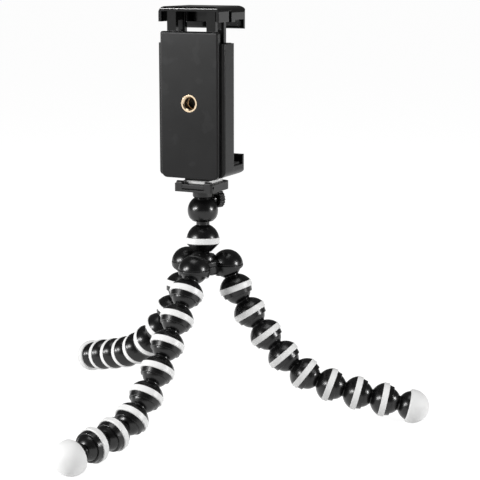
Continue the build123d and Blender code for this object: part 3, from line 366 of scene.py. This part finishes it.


# Edge colours: on the black plastics a lighter painted edge highlight with some wear, on the white and
# metal finishes wear.
FINISHES = {
    "gloss_black_plastic": dict(
        colour=(0.002, 0.002, 0.0021), worn=(0.0035, 0.0035, 0.0037), roughness=0.27, spread=0.04,
        grain_scale=2600.0, grain_depth=0.00001, wear_and_highlight_colour=(0.03, 0.03, 0.031), edge_wear_and_highlight_amount=0.5,
        scratch_amount=0.1,
    ),
    "satin_black_plastic": dict(
        colour=(0.006, 0.006, 0.0062), worn=(0.0075, 0.0075, 0.0077), roughness=0.32, spread=0.04,
        grain_scale=4200.0, grain_depth=0.00003, wear_and_highlight_colour=(0.06, 0.06, 0.062), edge_wear_and_highlight_amount=0.6,
        scratch_amount=0.06, specular=0.22, edge_radius=0.0005,
    ),
    "hub_black_plastic": dict(
        colour=(0.002, 0.002, 0.0021), worn=(0.0035, 0.0035, 0.0037), roughness=0.27, spread=0.04,
        grain_scale=2600.0, grain_depth=0.00001, wear_and_highlight_colour=(0.03, 0.03, 0.031), edge_wear_and_highlight_amount=0.5,
        scratch_amount=0.1, seam=HUB.z - SEAM_DROP,
    ),
    "slider_black_plastic": dict(
        colour=(0.002, 0.002, 0.0021), worn=(0.003, 0.003, 0.0031), roughness=0.12, spread=0.02,
        grain_scale=4200.0, grain_depth=0.00001, wear_and_highlight_colour=(0.03, 0.03, 0.031), edge_wear_and_highlight_amount=0.4,
        scratch_amount=0.05, specular=0.35, edge_radius=0.0004,
    ),
    "platform_black_plastic": dict(
        colour=(0.017, 0.017, 0.0173), worn=(0.022, 0.022, 0.0223), roughness=0.38, spread=0.06,
        grain_scale=4200.0, grain_depth=0.00003, wear_and_highlight_colour=(0.09, 0.09, 0.092), edge_wear_and_highlight_amount=0.6,
        scratch_amount=0.1, specular=0.3, edge_radius=0.0004,
    ),
    "white_plastic": dict(
        colour=(0.88, 0.88, 0.875), worn=(0.84, 0.84, 0.835), roughness=0.38, spread=0.08,
        grain_scale=2400.0, grain_depth=0.00003, wear_and_highlight_colour=(0.86, 0.86, 0.86), edge_wear_and_highlight_amount=0.3,
        scratch_amount=0.05,
    ),
    "white_rubber": dict(
        colour=(0.84, 0.84, 0.836), worn=(0.8, 0.8, 0.796), roughness=0.55, spread=0.08,
        grain_scale=1800.0, grain_depth=0.00006, wear_and_highlight_colour=(0.82, 0.82, 0.82), edge_wear_and_highlight_amount=0.2,
        scratch_amount=0.04,
    ),
    "dark_rubber": dict(
        colour=(0.018, 0.018, 0.018), worn=(0.03, 0.03, 0.03), roughness=0.75, spread=0.08,
        grain_scale=2200.0, grain_depth=0.00008, wear_and_highlight_colour=(0.05, 0.05, 0.05), edge_wear_and_highlight_amount=0.3,
        scratch_amount=0.0,
    ),
    "brass_insert": dict(
        colour=(0.74, 0.6, 0.44), worn=(0.6, 0.46, 0.3), roughness=0.26, spread=0.1,
        grain_scale=1500.0, grain_depth=0.00002, wear_and_highlight_colour=(0.9, 0.78, 0.62), edge_wear_and_highlight_amount=0.7,
        scratch_amount=0.3, metallic=1.0,
    ),
    "steel": dict(
        colour=(0.5, 0.5, 0.51), worn=(0.4, 0.4, 0.41), roughness=0.32, spread=0.1,
        grain_scale=1500.0, grain_depth=0.00002, wear_and_highlight_colour=(0.7, 0.7, 0.7), edge_wear_and_highlight_amount=0.5,
        scratch_amount=0.3, metallic=1.0,
    ),
}
MATERIALS = {name: finish_material(name, **finish) for name, finish in FINISHES.items()}


def dress(node, name):
    """Gives a CAD node one material."""
    mesh = node.data
    mesh.materials.clear()
    mesh.materials.append(MATERIALS[name])
    for polygon in mesh.polygons:
        polygon.material_index = 0


def whiten_ring(node, near, far):
    """Gives the faces of a segment's ring the white material."""
    mesh = node.data
    mesh.materials.append(MATERIALS["white_plastic"])
    along = (far - near).normalized()
    for polygon in mesh.polygons:
        steps = [mesh.vertices[index].co - near for index in polygon.vertices]
        heights = [step.dot(along) for step in steps]
        reaches = [(step - along * height).length for step, height in zip(steps, heights)]
        if min(heights) > RING_START and max(heights) < RING_END and min(reaches) > RING_INSIDE:
            polygon.material_index = 1


for shell in ("hub_upper_shell", "hub_lower_shell"):
    slots[shell] = "hub_black_plastic"
for piece_name in ("platform_base", "release_lever"):
    slots[piece_name] = "platform_black_plastic"
slots["clamp_slider"] = "slider_black_plastic"
for node_name, node in frame["nodes"].items():
    dress(node, slots[node_name])
for leg in LEGS:
    for number in range(1, SEGMENTS + 1):
        near = Vector(joints[f"{leg}_joint_{number}"]["pos_m"])
        far = Vector(joints[f"{leg}_joint_{number + 1}"]["pos_m"])
        whiten_ring(frame["nodes"][f"{leg}_segment_{number}"], near, far)


def thread_section(mount, turn_share):
    """Corners of the thread's ridge at one share of its run, which thins out at both ends."""
    run = mount["dims"]["length_mm"] * MM - THREAD_START - THREAD_END
    turns = run / THREAD_PITCH
    angle = 2 * math.pi * turns * turn_share
    inward = -Vector(mount["axis"])
    side = inward.cross(Vector((0, 0, 1))).normalized()
    across = inward.cross(side)
    outward = side * math.cos(angle) + across * math.sin(angle)
    centre = Vector(mount["pos_m"]) + inward * (THREAD_START + run * turn_share)
    wall = mount["dims"]["r_mm"] * MM + THREAD_SUNK
    rise = min(1.0, THREAD_RUN_IN * turn_share, THREAD_RUN_IN * (1 - turn_share))
    crest = wall - (wall - THREAD_CREST) * rise
    foot = THREAD_BASE_HALF * max(rise, THREAD_LEAST)
    top = THREAD_CREST_HALF * max(rise, THREAD_LEAST)
    return [
        centre + outward * wall - inward * foot,
        centre + outward * crest - inward * top,
        centre + outward * crest + inward * top,
        centre + outward * wall + inward * foot,
    ]


def build_insert_thread():
    """Helical ridge inside the brass insert, one closed mesh."""
    mount = next(m for m in record["mounts"] if m["name"] == "clamp_back_thread")
    turns = mount["dims"]["length_mm"] * MM / THREAD_PITCH
    steps = round(THREAD_STEPS * turns)
    mesh = bmesh.new()
    rings = []
    for step in range(steps + 1):
        rings.append([mesh.verts.new(corner) for corner in thread_section(mount, step / steps)])
    for near, far in zip(rings, rings[1:]):
        for index in range(len(near)):
            after = (index + 1) % len(near)
            mesh.faces.new((near[index], near[after], far[after], far[index]))
    mesh.faces.new(rings[0])
    mesh.faces.new(rings[-1])
    bmesh.ops.recalc_face_normals(mesh, faces=mesh.faces)
    data = bpy.data.meshes.new("clamp_insert_thread")
    mesh.to_mesh(data)
    mesh.free()
    data.materials.append(MATERIALS["brass_insert"])
    piece = bpy.data.objects.new("clamp_insert_thread", data)
    bpy.context.collection.objects.link(piece)
    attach(piece, "platform")


def build_floor():
    """Large pale floor that keeps the object's shadow."""
    bpy.ops.mesh.primitive_plane_add(size=FLOOR_SIZE, location=(0, 0, 0))
    floor = bpy.context.object
    floor.name = "studio_floor"
    material = bpy.data.materials.new("studio_floor")
    material.use_nodes = True
    tree = material.node_tree
    shader = tree.nodes["Principled BSDF"]
    shader.inputs["Roughness"].default_value = FLOOR_ROUGHNESS
    shader.inputs["Specular IOR Level"].default_value = 0.0
    path = tree.nodes.new("ShaderNodeLightPath")
    seen = math_node(tree, "ADD", path.outputs["Is Camera Ray"], path.outputs["Is Glossy Ray"])
    seen = math_node(tree, "ADD", seen, path.outputs["Is Transmission Ray"])
    glow = math_node(tree, "MULTIPLY", seen, FLOOR_GLOW)
    pale = mixed(tree, seen, FLOOR_LIT, FLOOR_SEEN)
    tree.links.new(pale, shader.inputs["Base Color"])
    shader.inputs["Emission Color"].default_value = WHITE
    tree.links.new(glow, shader.inputs["Emission Strength"])
    floor.data.materials.append(material)


def build_world():
    """Plain even light from all around."""
    world = bpy.data.worlds.new("studio")
    bpy.context.scene.world = world
    world.use_nodes = True
    background = world.node_tree.nodes["Background"]
    background.inputs["Color"].default_value = WHITE
    background.inputs["Strength"].default_value = WORLD_GREY


def camera_turn():
    """Turn of the camera about the upright axis, tipped down by its pitch."""
    return Matrix.Rotation(CAMERA_YAW, 4, "Z") @ Matrix.Rotation(math.pi / 2 - CAMERA_PITCH, 4, "X")


def build_camera():
    """Camera at the photograph's viewing angle."""
    camera = bpy.data.objects.new("camera", bpy.data.cameras.new("camera"))
    bpy.context.collection.objects.link(camera)
    camera.matrix_world = Matrix.Translation(HUB + CAMERA_FROM_HUB) @ camera_turn()
    camera.data.sensor_width = SENSOR
    camera.data.lens = SENSOR * FOCAL_SHARE
    camera.data.clip_start = CLIP_NEAR
    camera.data.clip_end = CLIP_FAR
    bpy.context.scene.camera = camera


def softbox(name, azimuth, elevation, distance, width, height, power):
    """Soft lamp aimed at the object, placed by angles from the camera's own direction."""
    aim = HUB + LAMP_AIM
    turn = camera_turn().to_3x3()
    around = math.radians(azimuth)
    rise = math.radians(elevation)
    level = math.cos(rise)
    way = turn @ Vector((math.sin(around) * level, math.sin(rise), math.cos(around) * level))
    lamp = bpy.data.objects.new(name, bpy.data.lights.new(name, "AREA"))
    bpy.context.collection.objects.link(lamp)
    lamp.data.shape = "RECTANGLE"
    lamp.data.size = width
    lamp.data.size_y = height
    lamp.data.energy = power
    lamp.location = aim + way * distance
    lamp.rotation_euler = way.to_track_quat("Z", "Y").to_euler()


build_insert_thread()
build_floor()
build_world()
build_camera()
for name, lamp in LAMPS.items():
    softbox(name, *lamp)


view = bpy.context.scene.view_settings
view.view_transform = "Standard"
